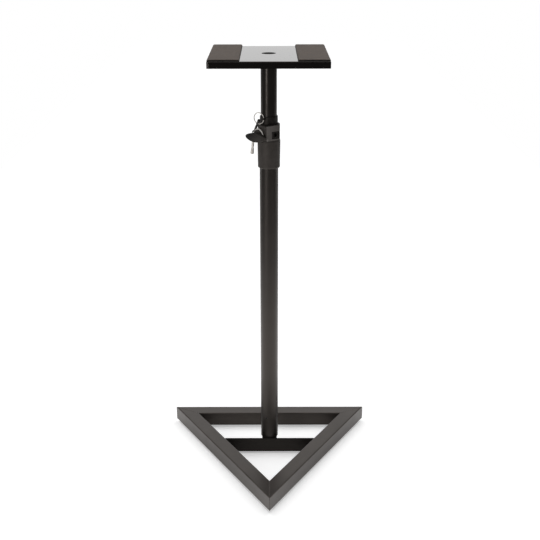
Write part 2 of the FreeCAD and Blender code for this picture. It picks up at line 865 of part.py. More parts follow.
def make_lower_guide():
    body = new_body("lower_guide")
    radius = "column_bore - slide_clear"
    stem = "mast_bore - slide_clear"
    turned(
        body, "lower_guide_shape",
        [
            ("0", "guide_foot"),
            (f"{radius} - guide_bevel", "guide_foot"),
            (radius, "guide_foot + guide_bevel"),
            (radius, "guide_shoulder"),
            (stem, "guide_shoulder"),
            (stem, "guide_shoulder + guide_stem - guide_bevel"),
            (f"{stem} - guide_bevel", "guide_shoulder + guide_stem"),
            ("0", "guide_shoulder + guide_stem"),
        ],
    )
    keep(body, "lower_guide", x="0")


def make_top_plug():
    body = new_body("top_plug")
    bore = "plate_screw_diameter / 2 + fit_clear / 2"
    radius = "mast_bore - fit_clear / 2"
    foot = "mast_top - plug_length"
    turned(body, "top_plug_shape", [(bore, foot), (radius, foot), (radius, "mast_top"), (bore, "mast_top")])
    keep(body, "top_plug", x="0")


make_inner_tube()
make_lower_guide()
make_top_plug()


# Top plate: a sheet steel tray folded down on four sides, with a countersunk hole. A ring welded
# under it takes the tube's end, and a wide countersunk screw holds it to the plug.

def make_top_plate():
    body = new_body("top_plate")
    foot = "plate_top - plate_edge"
    half = "plate_side / 2"
    plan = new_sketch(body, "plate_plan", "XY_Plane", foot)
    rectangle(plan, (f"-{half}", f"-{half}"), (half, half))
    block = pad(body, "plate_block", plan, "plate_edge")
    corners = fillet(
        body, "plate_corners", block, "plate_corner",
        lambda middle, along, edge: near(abs(along.z), 1),
    )
    top = size("plate_top")
    fillet(body, "plate_bends", corners, "plate_bend", lambda middle, along, edge: near(middle.z, top))
    inner = "plate_side / 2 - plate_wall"
    under = new_sketch(body, "plate_under", "XY_Plane", foot)
    rectangle(under, (f"-({inner})", f"-({inner})"), (inner, inner))
    pocket(body, "plate_inside", under, "plate_edge - plate_wall", forward=True)
    turned(
        body, "plate_countersink",
        [
            ("0", "plate_top"),
            ("plate_screw_head / 2 + fit_clear", "plate_top"),
            ("plate_screw_head / 2 + fit_clear - plate_wall", "mast_top"),
            ("0", "mast_top"),
        ],
        "PartDesign::Groove",
    )
    keep(body, "top_plate", x="0")


def make_plate_socket():
    body = new_body("plate_socket")
    bore = "mast_radius + fit_clear / 2"
    radius = "mast_radius + socket_wall"
    foot = "mast_top - socket_height"
    turned(
        body, "plate_socket_shape",
        [(bore, foot), (radius, foot), (radius, "mast_top"), (bore, "mast_top")],
    )
    keep(body, "plate_socket", x="0")


def make_plate_screw():
    body = new_body("plate_screw")
    head = "plate_screw_head / 2"
    turned(
        body, "plate_screw_shape",
        [
            ("0", "plate_top - plate_screw_length"),
            ("plate_screw_diameter / 2", "plate_top - plate_screw_length"),
            ("plate_screw_diameter / 2", "mast_top"),
            (f"{head} - plate_wall", "mast_top"),
            (head, "plate_top"),
            (f"{head} - plate_screw_dish", "plate_top"),
            ("plate_screw_key", "plate_top - plate_screw_dish"),
            ("0", "plate_top - plate_screw_dish"),
        ],
    )
    keep(body, "plate_screw", x="0")


def make_strip(label, hand):
    """One soft strip along a side of the plate, from the plate's front edge to its rear edge."""
    body = new_body(label)
    outer = "plate_side / 2 - strip_inset"
    plan = new_sketch(body, f"{label}_plan", "XY_Plane", "plate_top")
    low, high = (f"-({outer})", f"-({outer}) + strip_width"), (f"{outer} - strip_width", outer)
    x_range = low if hand < 0 else high
    rectangle(plan, (x_range[0], f"-({outer})"), (x_range[1], outer))
    block = pad(body, f"{label}_block", plan, "strip_thickness")
    top = size("plate_top + strip_thickness")
    fillet(body, f"{label}_edge", block, "strip_round", lambda middle, along, edge: near(middle.z, top))
    keep(body, label, x="0")


make_top_plate()
make_plate_socket()
make_plate_screw()
make_strip("left_pad", -1)
make_strip("right_pad", 1)


# Tether: a ring through the bush's ear stands on the collar's top, a flat link hangs from the
# ring beside the collar, and the lock pin hangs by its eye from the link.

def make_tether_ring():
    ring = doc.addObject("Part::Torus", "tether_ring_wire")
    ring.setExpression("Radius1", bound("ring_radius"))
    ring.setExpression("Radius2", bound("ring_wire / 2"))
    keep(ring, "tether_ring", x="ring_x", y="ring_y", z="ring_z", yaw="ring_turn", roll="90")


def make_tether_link():
    body = new_body("tether_link")
    thick = "link_thickness"
    for name, drop in (("upper", "link_upper"), ("lower", "link_lower")):
        eye = new_sketch(body, f"link_{name}_face", "XY_Plane")
        circle(eye, "0", f"-({drop})", "link_eye / 2")
        pad(body, f"link_{name}_eye", eye, thick, "Symmetric")
    waist = new_sketch(body, "link_waist_face", "XY_Plane")
    rectangle(waist, ("-link_waist / 2", "-link_lower"), ("link_waist / 2", "-link_upper"))
    pad(body, "link_waist_bar", waist, thick, "Symmetric")
    tail = new_sketch(body, "link_tail_face", "XY_Plane")
    rectangle(tail, ("-link_tail_width / 2", "-link_upper"), ("link_tail_width / 2", "link_tail"))
    bar = pad(body, "link_tail_bar", tail, thick, "Symmetric")
    end = size("link_tail")
    fillet(
        body, "link_tail_end", bar, "link_tail_width / 2.5",
        lambda middle, along, edge: near(middle.y, end) and near(abs(along.z), 1),
    )
    holes = new_sketch(body, "link_holes_face", "XY_Plane")
    for drop in ("link_upper", "link_lower"):
        circle(holes, "0", f"-({drop})", "link_hole / 2")
    pocket(body, "link_holes", holes, "2 * link_thickness", side="Symmetric")
    keep(
        body, "tether_link", x="hook_x", y="hook_y", z="hook_z", yaw="collar_turn",
        roll="90 - link_lean",
    )


def make_lock_pin():
    eye = doc.addObject("Part::Torus", "pin_eye")
    eye.setExpression("Radius1", bound("pin_eye_radius"))
    eye.setExpression("Radius2", bound("pin_eye_wire / 2"))
    place(eye, y="0", pitch="90")
    shank = new_body("pin_shank")
    top = "-pin_eye_radius"
    neck = f"{top} - pin_stem_length"
    tip = f"{neck} - pin_neck_length"
    end = f"{tip} - pin_tip_length"
    turned(
        shank, "pin_shank_shape",
        [
            ("0", top),
            ("pin_eye_wire / 2", top),
            ("pin_stem / 2", f"{top} - pin_stem"),
            ("pin_stem / 2", neck),
            ("pin_neck / 2", neck),
            ("pin_neck / 2", tip),
            ("pin_stem / 2", tip),
            ("pin_tip / 2", f"{end} + pin_tip_round"),
            ("pin_tip / 2 - pin_tip_round", end),
            ("0", end),
        ],
    )
    pin = plus("lock_pin_joined", [eye, shank])
    keep(pin, "lock_pin", x="eye_x", y="eye_y", z="eye_z", yaw="collar_turn", roll="-pin_lean")


make_tether_ring()
make_tether_link()
make_lock_pin()


# Every object has to be sound before any piece is written.
doc.recompute()
for item in doc.Objects:
    if "Invalid" in item.State or "Error" in item.State:
        raise RuntimeError(f"{item.Name} failed: {item.State}")
for piece in pieces:
    if piece.Shape.isNull() or not piece.Shape.isValid() or not piece.Shape.Solids:
        raise RuntimeError(f"{piece.Label} has no sound solid")

os.makedirs("parts", exist_ok=True)
for piece in pieces:
    piece.Shape.exportStep(f"parts/{piece.Label}.step")
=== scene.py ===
import math

import bpy
import numpy as np
from mathutils import Matrix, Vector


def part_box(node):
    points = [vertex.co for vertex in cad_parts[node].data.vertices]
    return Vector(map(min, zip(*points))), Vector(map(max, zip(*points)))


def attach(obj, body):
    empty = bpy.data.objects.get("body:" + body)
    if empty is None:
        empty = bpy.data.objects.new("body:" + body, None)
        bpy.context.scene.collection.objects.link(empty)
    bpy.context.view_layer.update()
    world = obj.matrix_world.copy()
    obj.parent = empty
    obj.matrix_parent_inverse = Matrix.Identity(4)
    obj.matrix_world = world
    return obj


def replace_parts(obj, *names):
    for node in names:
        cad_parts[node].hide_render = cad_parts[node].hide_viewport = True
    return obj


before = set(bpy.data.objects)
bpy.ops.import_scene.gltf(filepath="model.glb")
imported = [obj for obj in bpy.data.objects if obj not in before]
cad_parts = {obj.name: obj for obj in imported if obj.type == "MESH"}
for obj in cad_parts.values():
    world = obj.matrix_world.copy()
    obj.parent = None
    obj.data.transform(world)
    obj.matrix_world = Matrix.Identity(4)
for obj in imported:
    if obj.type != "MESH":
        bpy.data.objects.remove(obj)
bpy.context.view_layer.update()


# Base triangle: three square steel tubes, cut to mitres and welded flat, then powder coated satin
# black. The coat has a fine orange peel and is a little paler along the edges. On top towards the
# front corner, and on the rear rail's face inside the triangle, it is darker as painted shade.

WARM = (1.0, 0.89, 0.81, 1.0)
GRIT_SHARE = 0.2
DRAWING_SHARE = 0.3
UPRIGHT = (0.0, 0.0, 1.0)
FORWARD = (0.0, -1.0, 0.0)
# Darker colour laid on the rails as painted shade.
PAINTED_RAIL_SHADE = (0.0110, 0.0096, 0.0088)


def opened(finish):
    """A material's node tree, its shader, and the piece's own coordinates in metres."""
    tree = finish.node_tree
    place = tree.nodes.new("ShaderNodeTexCoord").outputs["Object"]
    return tree, tree.nodes["Principled BSDF"], place


def new_finish(name):
    """A new node material, with its tree, shader and coordinates."""
    finish = bpy.data.materials.new(name)
    finish.use_nodes = True
    return finish, *opened(finish)


def stretched(tree, place, x, y, z):
    """The piece's coordinates scaled along each axis, so that a grain becomes lines."""
    mapping = tree.nodes.new("ShaderNodeMapping")
    mapping.inputs["Scale"].default_value = (x, y, z)
    tree.links.new(place, mapping.inputs["Vector"])
    return mapping.outputs["Vector"]


def grain(tree, place, lump, detail, roughness=0.55):
    """Noise from 0 to 1 whose lumps are about that many metres across."""
    noise = tree.nodes.new("ShaderNodeTexNoise")
    noise.inputs["Scale"].default_value = 1.0 / lump
    noise.inputs["Detail"].default_value = detail
    noise.inputs["Roughness"].default_value = roughness
    tree.links.new(place, noise.inputs["Vector"])
    return noise.outputs["Fac"]


def spread(tree, value, low, high, start=0.3, end=0.7):
    """The value's range from start to end, carried over to low and high and held there."""
    ranged = tree.nodes.new("ShaderNodeMapRange")
    ranged.inputs["From Min"].default_value = start
    ranged.inputs["From Max"].default_value = end
    ranged.inputs["To Min"].default_value = low
    ranged.inputs["To Max"].default_value = high
    tree.links.new(value, ranged.inputs["Value"])
    return ranged.outputs["Result"]


def combined(tree, operation, first, second):
    """One number from two, each a socket or a plain number."""
    node = tree.nodes.new("ShaderNodeMath")
    node.operation = operation
    for socket, value in zip(node.inputs, (first, second)):
        if isinstance(value, (int, float)):
            socket.default_value = value
        else:
            tree.links.new(value, socket)
    return node.outputs["Value"]


def tinted(tree, shader, amount, dark, light):
    """Colours the shader between dark and light, by an amount from 0 to 1."""
    mix = tree.nodes.new("ShaderNodeMix")
    mix.data_type = "RGBA"
    mix.inputs["A"].default_value = (*dark, 1.0)
    mix.inputs["B"].default_value = (*light, 1.0)
    tree.links.new(amount, mix.inputs["Factor"])
    tree.links.new(mix.outputs["Result"], shader.inputs["Base Color"])


def laid_over(tree, shader, amount, colour):
    """Lays a colour over the shader's own, by an amount from 0 to 1."""
    mix = tree.nodes.new("ShaderNodeMix")
    mix.data_type = "RGBA"
    tree.links.new(amount, mix.inputs["Factor"])
    tree.links.new(shader.inputs["Base Color"].links[0].from_socket, mix.inputs["A"])
    mix.inputs["B"].default_value = (*colour, 1.0)
    tree.links.new(mix.outputs["Result"], shader.inputs["Base Color"])


def glossed(tree, shader, patches, roughness, below, above, start=0.3, end=0.7):
    """A roughness that wanders with the patches, from below the given one to above it."""
    uneven = spread(tree, patches, roughness - below, roughness + above, start, end)
    tree.links.new(uneven, shader.inputs["Roughness"])


def relief(tree, shader, height, depth):
    """Raises the surface by the height's range times depth, in metres."""
    bump = tree.nodes.new("ShaderNodeBump")
    bump.inputs["Distance"].default_value = depth
    tree.links.new(height, bump.inputs["Height"])
    tree.links.new(bump.outputs["Normal"], shader.inputs["Normal"])


def along(tree, vector, direction):
    """The dot product of a vector and a fixed direction: how far a point lies that way."""
    dot = tree.nodes.new("ShaderNodeVectorMath")
    dot.operation = "DOT_PRODUCT"
    tree.links.new(vector, dot.inputs[0])
    dot.inputs[1].default_value = direction
    return dot.outputs["Value"]


def facing(tree, direction, start=0.97, end=0.995):
    """From 0 to 1 as a face turns towards a direction, by the cosine between them."""
    normal = tree.nodes.new("ShaderNodeTexCoord").outputs["Normal"]
    return spread(tree, along(tree, normal, direction), 0.0, 1.0, start, end)


def edges(tree, reach):
    """From 0 on a flat face to 1 on an edge, by how far a rounded normal leaves the true one."""
    bevel = tree.nodes.new("ShaderNodeBevel")
    bevel.samples = 6
    bevel.inputs["Radius"].default_value = reach
    true = tree.nodes.new("ShaderNodeNewGeometry").outputs["Normal"]
    dot = tree.nodes.new("ShaderNodeVectorMath")
    dot.operation = "DOT_PRODUCT"
    tree.links.new(bevel.outputs["Normal"], dot.inputs[0])
    tree.links.new(true, dot.inputs[1])
    return spread(tree, dot.outputs["Value"], low=1.0, high=0.0, start=0.75, end=0.99)


def powder_coat(name, dark, light, roughness, specular, peel, lines=None):
    """Baked powder: cloudy tone, orange peel with grit on it, and worn edges. Lines are the marks
    of tube drawing that show through the coat, as scales along the three axes."""
    finish, tree, shader, place = new_finish(name)
    cloud = spread(tree, grain(tree, place, lump=0.05, detail=2.0), low=0.0, high=0.55)
    patches = grain(tree, place, lump=0.004, detail=4.0)
    worn = combined(tree, "MULTIPLY", edges(tree, reach=0.0012), patches)
    tinted(tree, shader, combined(tree, "MAXIMUM", cloud, worn), dark, light)
    orange = grain(tree, place, lump=0.0016, detail=1.0)
    grit = grain(tree, place, lump=0.00035, detail=2.0)
    height = combined(tree, "ADD", orange, combined(tree, "MULTIPLY", grit, GRIT_SHARE))
    if lines:
        drawn = grain(tree, stretched(tree, place, *lines), lump=0.0007, detail=2.0)
        height = combined(tree, "ADD", height, combined(tree, "MULTIPLY", drawn, DRAWING_SHARE))
    relief(tree, shader, height, peel)
    flow = grain(tree, place, lump=0.03, detail=1.0)
    glossed(tree, shader, flow, roughness, below=0.015, above=0.02)
    shader.inputs["Specular IOR Level"].default_value = specular
    shader.inputs["Specular Tint"].default_value = WARM
    return finish


def paint_rail_shade(finish):
    """Lays painted shade, a darker colour, on top towards the front corner, and on the rear rail's
    face inside the triangle."""
    tree, shader, place = opened(finish)
    forward = along(tree, place, FORWARD)
    towards_front = spread(tree, forward, low=0.0, high=0.55, start=0.085, end=0.165)
    tip = combined(tree, "MULTIPLY", facing(tree, UPRIGHT), towards_front)
    at_rear = spread(tree, forward, low=0.38, high=0.0, start=-0.13, end=-0.12)
    inside = combined(tree, "MULTIPLY", facing(tree, FORWARD), at_rear)
    laid_over(tree, shader, combined(tree, "MAXIMUM", tip, inside), PAINTED_RAIL_SHADE)


def finished(finish, *names):
    """Gives solids of the frame a finish in place of their plain one."""
    for name in names:
        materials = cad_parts[name].data.materials
        materials.clear()
        materials.append(finish)


rail_coat = powder_coat(
    "rail_powder_coat", dark=(0.0378, 0.0322, 0.0288), light=(0.056, 0.0484, 0.0436),
    roughness=0.29, specular=0.44, peel=0.000008,
)
# Painted shade: darker top towards the front corner, and a darker rear rail face inside the
# triangle.
paint_rail_shade(rail_coat)
finished(rail_coat, "rear_rail", "left_rail", "right_rail")


# Mitre seams: the welds on the base's upper face and down its outer corners, ground nearly flush
# and coated over. Each is a low ridge along the line where two tubes meet.

BASE_CENTRE = np.array([0.0, 0.059467])
RAIL_TOP = 0.035
CORNER_TURNS = {"front": -90.0, "right": 30.0, "left": 150.0}
MITRE_OUTER, MITRE_INNER = 0.2352, 0.1785
MITRE_WIDTH, MITRE_HEIGHT = 0.0007, 0.00022
CORNER_REACH = 0.2370
CORNER_FOOT, CORNER_HEAD = 0.0052, 0.0345
CORNER_SEAM = 0.00055
SEAM_TAPER = 1.0 / 30.0
SEAM_RIPPLE = 0.12
SEAM_WAVES = (61.0, 23.0)
LEAST_SWELL = 0.05
SIDEWAYS = (1.0, 0.0, 0.0)
NEARLY_UPRIGHT = 0.9


def skin(name, rings, finish, body, closed=False):
    """A surface through rings of points: quads between neighbours, round each ring and along the
    row of rings, which closes on itself or ends in one point at the middle of each end ring."""
    count, around = rings.shape[:2]
    points = rings.reshape(-1, 3)
    index = np.arange(count * around).reshape(count, around)
    following = np.roll(index, -1, axis=0)
    row = slice(None) if closed else slice(0, -1)
    here, there = index[row], following[row]
    quads = np.stack(
        [here, np.roll(here, -1, axis=1), np.roll(there, -1, axis=1), there], axis=-1
    ).reshape(-1, 4)
    faces = quads.tolist()
    if not closed:
        poles = np.stack([rings[0].mean(axis=0), rings[-1].mean(axis=0)])
        points = np.concatenate([points, poles])
        first, last = np.full(around, count * around), np.full(around, count * around + 1)
        faces += np.stack([np.roll(index[0], -1), index[0], first], axis=-1).tolist()
        faces += np.stack([index[-1], np.roll(index[-1], -1), last], axis=-1).tolist()
    mesh = bpy.data.meshes.new(name)
    mesh.from_pydata(points.tolist(), [], faces)
    mesh.polygons.foreach_set("use_smooth", np.ones(len(faces), bool))
    mesh.materials.append(finish)
    mesh.update()
    piece = bpy.data.objects.new(name, mesh)
    bpy.context.scene.collection.objects.link(piece)
    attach(piece, body)
    return piece


def swept(path, side, up, outline):
    """Rings of an outline carried along a path: path point plus outline x times the side
    direction plus outline y times the up direction. Side, up and the path's own direction are
    right-handed, so that the faces look outwards."""
    return path[:, None] + outline[..., 0:1] * side[:, None] + outline[..., 1:2] * up[:, None]


def oval(across, high, around):
    """Points round an ellipse: across times the cosine and high times the sine of each angle."""
    turn = np.linspace(0.0, 2.0 * np.pi, around, endpoint=False)
    return np.stack([across * np.cos(turn), high * np.sin(turn)], axis=-1)


def crosswise(line):
    """A direction square to a line: upright, or sideways where the line itself is upright."""
    return np.array(UPRIGHT if abs(line[2]) < NEARLY_UPRIGHT else SIDEWAYS)


def ridge(start, end, width, height, steps=40, around=16):
    """A low ridge between two points: an ellipse of that half width and half height, which swells
    and sinks along its length by the product of two sines and narrows steadily at its ends."""
    share = np.linspace(0.0, 1.0, steps)
    path = start + share[:, None] * (end - start)
    line = (end - start) / np.linalg.norm(end - start)
    up = np.tile(crosswise(line), (steps, 1))
    side = np.cross(up, line)
    narrowed = np.clip(np.minimum(share, 1.0 - share) / SEAM_TAPER, LEAST_SWELL, 1.0)
    waves = np.sin(share * SEAM_WAVES[0]) * np.sin(share * SEAM_WAVES[1])
    swell = narrowed * (1.0 + SEAM_RIPPLE * waves)
    return swept(path, side, up, swell[:, None, None] * oval(width, height, around))


seam_coat = powder_coat(
    "seam_powder_coat", dark=(0.009, 0.008, 0.0074), light=(0.016, 0.0145, 0.0135),
    roughness=0.5, specular=0.25, peel=0.00001,
)
for corner, turn in CORNER_TURNS.items():
    outward = np.array([math.cos(math.radians(turn)), math.sin(math.radians(turn))])
    level_ends = [
        np.append(BASE_CENTRE + reach * outward, RAIL_TOP) for reach in (MITRE_OUTER, MITRE_INNER)
    ]
    mitre = ridge(*level_ends, MITRE_WIDTH, MITRE_HEIGHT)
    skin(f"mitre_seam_{corner}", mitre, rail_coat, "base")
    upright_ends = [
        np.append(BASE_CENTRE + CORNER_REACH * outward, height)
        for height in (CORNER_FOOT, CORNER_HEAD)
    ]
    corner_line = ridge(*upright_ends, CORNER_SEAM, CORNER_SEAM)
    skin(f"corner_seam_{corner}", corner_line, seam_coat, "base")


# Cross angle and column spigot: a steel angle between the side rails, and the short tube that
# stands on it inside the column. Both are welded in with a ring and four runs of rippled bead.
# Their coat and beads are duller, and darker than the rails as painted shade for the corner they
# sit in.

ANGLE_LEG_TOP = 0.008
SPIGOT_RADIUS = 0.0154
BEAD_PITCH = 0.0021
BEAD_DIP = 0.14
BEAD_OFFSET = 0.0004
SPIGOT_BEAD = 0.0016
ANGLE_BEAD = 0.0014
ANGLE_BEAD_RUNS = {
    "front": ((0.09096, 0.03817, 0.0066), (0.09096, 0.03817, 0.0335)),
    "leg": ((0.09396, 0.04447, 0.0083), (0.11309, 0.07727, 0.0083)),
}


def bead(path, side, up, radius, length, around=14):
    """A weld bead: a half sunk round section carried along a path, its radius rippled by the size
    of a sine at the pitch of the weld's pools, so that each pool overlaps the last."""
    pools = np.linspace(0.0, length / BEAD_PITCH, len(path)) * np.pi
    swell = radius * (1.0 - BEAD_DIP + BEAD_DIP * np.abs(np.sin(pools)))
    return swept(path, side, up, swell[:, None, None] * oval(1.0, 1.0, around))


def straight_bead(start, end, radius, steps=120):
    """A bead on the straight line between two points."""
    length = np.linalg.norm(end - start)
    path = start + np.linspace(0.0, 1.0, steps)[:, None] * (end - start)
    line = (end - start) / length
    side = crosswise(line)
    up = np.cross(line, side)
    return bead(path, np.tile(side, (steps, 1)), np.tile(up, (steps, 1)), radius, length)


def outwards(steps):
    """Level directions in even steps round a full turn: cosine, sine and nothing."""
    angle = np.linspace(0.0, 2.0 * np.pi, steps, endpoint=False)
    return np.stack([np.cos(angle), np.sin(angle), np.zeros(steps)], axis=-1)


def ring_bead(centre, height, ring_radius, radius, steps=240):
    """A bead on a level circle: the circle's point, with upward and outward as its two sides."""
    outward = outwards(steps)
    path = np.array([*centre, height]) + ring_radius * outward
    whole_pools = round(2.0 * np.pi * ring_radius / BEAD_PITCH) * BEAD_PITCH
    return bead(path, np.tile(UPRIGHT, (steps, 1)), outward, radius, whole_pools)


# Painted shade: coloured darker than the rails' coat to stand in for the shade between them.
shaded_angle_coat = powder_coat(
    "shaded_angle_powder_coat", dark=(0.0085, 0.0075, 0.0068), light=(0.014, 0.0126, 0.0116),
    roughness=0.42, specular=0.26, peel=0.00001,
)
finished(shaded_angle_coat, "cross_angle", "column_spigot")
spigot_ring = ring_bead(
    BASE_CENTRE, ANGLE_LEG_TOP + BEAD_OFFSET, SPIGOT_RADIUS + BEAD_OFFSET, SPIGOT_BEAD
)
skin("spigot_bead", spigot_ring, shaded_angle_coat, "base", closed=True)
for hand, sign in (("left", -1.0), ("right", 1.0)):
    for run, ends in ANGLE_BEAD_RUNS.items():
        start, end = np.array(ends) * (sign, 1.0, 1.0)
        weld = straight_bead(start, end, ANGLE_BEAD)
        skin(f"angle_bead_{run}_{hand}", weld, shaded_angle_coat, "base")


# Feet: three thin discs under the base's corners, that keep the steel off the floor. They are
# moulded in black rubber, with a matt and faintly dusty skin.

def rubber(name, dark, light, roughness, lump, depth, specular=0.3):
    """Moulded rubber: matt, with fine pits and dusty patches."""
    finish, tree, shader, place = new_finish(name)
    dust = spread(tree, grain(tree, place, lump=0.012, detail=4.0), low=0.0, high=0.7)
    pits = grain(tree, place, lump, detail=3.0)
    speck = spread(tree, pits, low=0.0, high=0.6, start=0.45, end=0.75)
    tinted(tree, shader, combined(tree, "MAXIMUM", dust, speck), dark, light)
    relief(tree, shader, pits, depth)
    glossed(tree, shader, dust, roughness, below=0.06, above=0.06, start=0.0, end=0.7)
    shader.inputs["Specular IOR Level"].default_value = specular
    return finish


foot_rubber = rubber(
    "foot_rubber", dark=(0.014, 0.014, 0.014), light=(0.03, 0.029, 0.028),
    roughness=0.72, lump=0.0006, depth=0.00008,
)
finished(foot_rubber, "foot_left", "foot_right", "foot_front")


# Column: drawn steel tube over the spigot, powder coated like the base but darker and with less
# peel, so that the drawing lines show. A small black set screw is sunk near its foot.

DRAWN = (1.0, 1.0, 0.02)
OXIDE_DARK = (0.018, 0.017, 0.016)
OXIDE_LIGHT = (0.05, 0.046, 0.042)
OXIDE_METALLIC = 0.35


def blacked_steel(name, roughness):
    """Steel with a thin black oxide skin, cloudy and slightly brown."""
    finish, tree, shader, place = new_finish(name)
    cloud = spread(tree, grain(tree, place, lump=0.003, detail=4.0), low=0.0, high=1.0)
    tinted(tree, shader, cloud, OXIDE_DARK, OXIDE_LIGHT)
    relief(tree, shader, grain(tree, place, lump=0.0004, detail=3.0), depth=0.00003)
    glossed(tree, shader, cloud, roughness, below=0.06, above=0.08, start=0.0, end=1.0)
    shader.inputs["Metallic"].default_value = OXIDE_METALLIC
    return finish


column_coat = powder_coat(
    "column_powder_coat", dark=(0.0095, 0.0080, 0.0072), light=(0.0142, 0.0124, 0.0113),
    roughness=0.38, specular=0.58, peel=0.000006, lines=DRAWN,
)
finished(column_coat, "outer_column")
screw_steel = blacked_steel("black_oxide_steel", roughness=0.42)
finished(screw_steel, "column_screw")


# Clamp collar: glass filled black nylon, moulded with an eroded grain and a rounded foot, pressed
# on the column's top end and held by a screw at the back. A smooth bush and the lock pin's sleeve
# are pressed into it. The flat round the sleeve is painted paler as painted light, with a painted
# highlight on a spot at the corner's foot.

COLLAR_TURN = math.radians(37.0)
PIN_FLAT = (math.sin(COLLAR_TURN), -math.cos(COLLAR_TURN), 0.0)
ALONG_PIN_FLAT = (math.cos(COLLAR_TURN), math.sin(COLLAR_TURN), 0.0)
PIN_FLAT_FROM, PIN_FLAT_TO = 0.0133, 0.0420
PIN_FLAT_FOOT = 0.6640
# Centre of the painted highlight at the foot of the pin flat's corner.
HIGHLIGHT_SPOT = (-0.0030, 0.0309, 0.6670)
HIGHLIGHT_RAGGED = 0.004
# Paler colour of the painted light and highlight on the pin's flat.
PAINTED_LIGHT_PALE = (0.215, 0.199, 0.188)
SCUFF_STRETCH = (1.0, 1.0, 0.35)
SHORT_STEP = 0.0002

FOOT_OUTER = 0.02083
FOOT_TOP = 0.6172
FOOT_LEAD_IN, FOOT_LEAD_DOWN = 0.00005, 0.0006
FOOT_STRAIGHT = 0.6122
FOOT_ROUND_IN, FOOT_ROUND_DOWN = 0.0016, 0.0026
FOOT_INSIDE = ((0.01855, 0.60956), (0.0184, 0.6102), (0.0203, 0.6156))


def moulded_plastic(name, dark, light, roughness, specular, lump, depth, scuffs=0.0, lit_along=None):
    """Moulded plastic: even grain, slight flow clouds, paler worn edges and short scuffs. The last
    argument gives a direction, and where along it a paleness painted as light begins and is
    complete."""
    finish, tree, shader, place = new_finish(name)
    cloud = spread(tree, grain(tree, place, lump=0.02, detail=3.0), low=0.0, high=0.5)
    patches = grain(tree, place, lump=0.003, detail=4.0)
    worn = combined(tree, "MULTIPLY", edges(tree, reach=0.0008), patches)
    amount = combined(tree, "MAXIMUM", cloud, worn)
    if scuffs:
        streaks = stretched(tree, place, *SCUFF_STRETCH)
        lines = grain(tree, streaks, lump=0.006, detail=6.0, roughness=0.7)
        scuffed = spread(tree, lines, low=0.0, high=scuffs, start=0.66, end=0.74)
        amount = combined(tree, "MAXIMUM", amount, scuffed)
    if lit_along:
        direction, start, end = lit_along
        lit_share = spread(tree, along(tree, place, direction), 0.0, 1.0, start, end)
        light_patches = spread(tree, grain(tree, place, lump=0.01, detail=5.0), low=0.75, high=1.0)
        rubbing_and_light = combined(tree, "MULTIPLY", lit_share, light_patches)
        amount = combined(tree, "MAXIMUM", combined(tree, "MULTIPLY", amount, lit_share), rubbing_and_light)
    tinted(tree, shader, amount, dark, light)
    pits = grain(tree, place, lump, detail=2.0)
    relief(tree, shader, pits, depth)
    glossed(tree, shader, pits, roughness, below=0.05, above=0.07)
    shader.inputs["Specular IOR Level"].default_value = specular
    shader.inputs["Specular Tint"].default_value = WARM
    return finish


def from_point(tree, place, point):
    """How far a point lies from a fixed one, in metres."""
    apart = tree.nodes.new("ShaderNodeVectorMath")
    apart.operation = "DISTANCE"
    tree.links.new(place, apart.inputs[0])
    apart.inputs[1].default_value = point
    return apart.outputs["Value"]


def higher_than(tree, place, height):
    """0 below a height and 1 above it, with a short step between them."""
    upward = along(tree, place, UPRIGHT)
    return spread(tree, upward, 0.0, 1.0, height - SHORT_STEP, height + SHORT_STEP)


def lit_pin_flat(finish):
    """Lays painted light, a paler colour, on the pin's flat, fading from its front corner along it,
    and a painted highlight on a spot at the corner's foot."""
    tree, shader, place = opened(finish)
    distance = along(tree, place, ALONG_PIN_FLAT)
    fade = spread(tree, distance, low=0.66, high=0.30, start=PIN_FLAT_FROM, end=PIN_FLAT_TO)
    light_patches = spread(tree, grain(tree, place, lump=0.01, detail=5.0), low=0.8, high=1.0)
    rubbing_and_light = combined(tree, "MULTIPLY", fade, light_patches)
    noise = grain(tree, place, lump=0.003, detail=4.0)
    ragged = combined(tree, "MULTIPLY", noise, HIGHLIGHT_RAGGED)
    from_highlight = combined(tree, "ADD", from_point(tree, place, HIGHLIGHT_SPOT), ragged)
    painted_highlight = spread(tree, from_highlight, low=1.0, high=0.0, start=0.0032, end=0.0068)
    above_foot = higher_than(tree, place, PIN_FLAT_FOOT)
    flat = combined(tree, "MULTIPLY", facing(tree, PIN_FLAT), above_foot)
    pale = combined(tree, "MULTIPLY", flat, combined(tree, "MAXIMUM", rubbing_and_light, painted_highlight))
    laid_over(tree, shader, pale, PAINTED_LIGHT_PALE)


def foot_lip(steps=180, bend=10):
    """A ring turned about the column: a profile that runs down the collar's side, rounds in under
    it by a quarter ellipse, and closes inside the collar's wall."""
    turn = np.linspace(0.0, np.pi / 2.0, bend)
    inward = FOOT_OUTER - FOOT_ROUND_IN * (1.0 - np.cos(turn))
    under = np.stack([inward, FOOT_STRAIGHT - FOOT_ROUND_DOWN * np.sin(turn)], axis=-1)
    side = [(FOOT_OUTER - FOOT_LEAD_IN, FOOT_TOP), (FOOT_OUTER, FOOT_TOP - FOOT_LEAD_DOWN)]
    profile = np.concatenate([side, under, FOOT_INSIDE])
    path = np.tile([*BASE_CENTRE, 0.0], (steps, 1))
    outline = np.broadcast_to(profile[:, ::-1], (steps, *profile.shape))
    return swept(path, np.tile(UPRIGHT, (steps, 1)), outwards(steps), outline)


collar_plastic = moulded_plastic(
    "collar_plastic", dark=(0.0330, 0.0290, 0.0266), light=(0.0715, 0.0640, 0.0592),
    roughness=0.52, specular=0.4, lump=0.0005, depth=0.00006, scuffs=1.0,
)
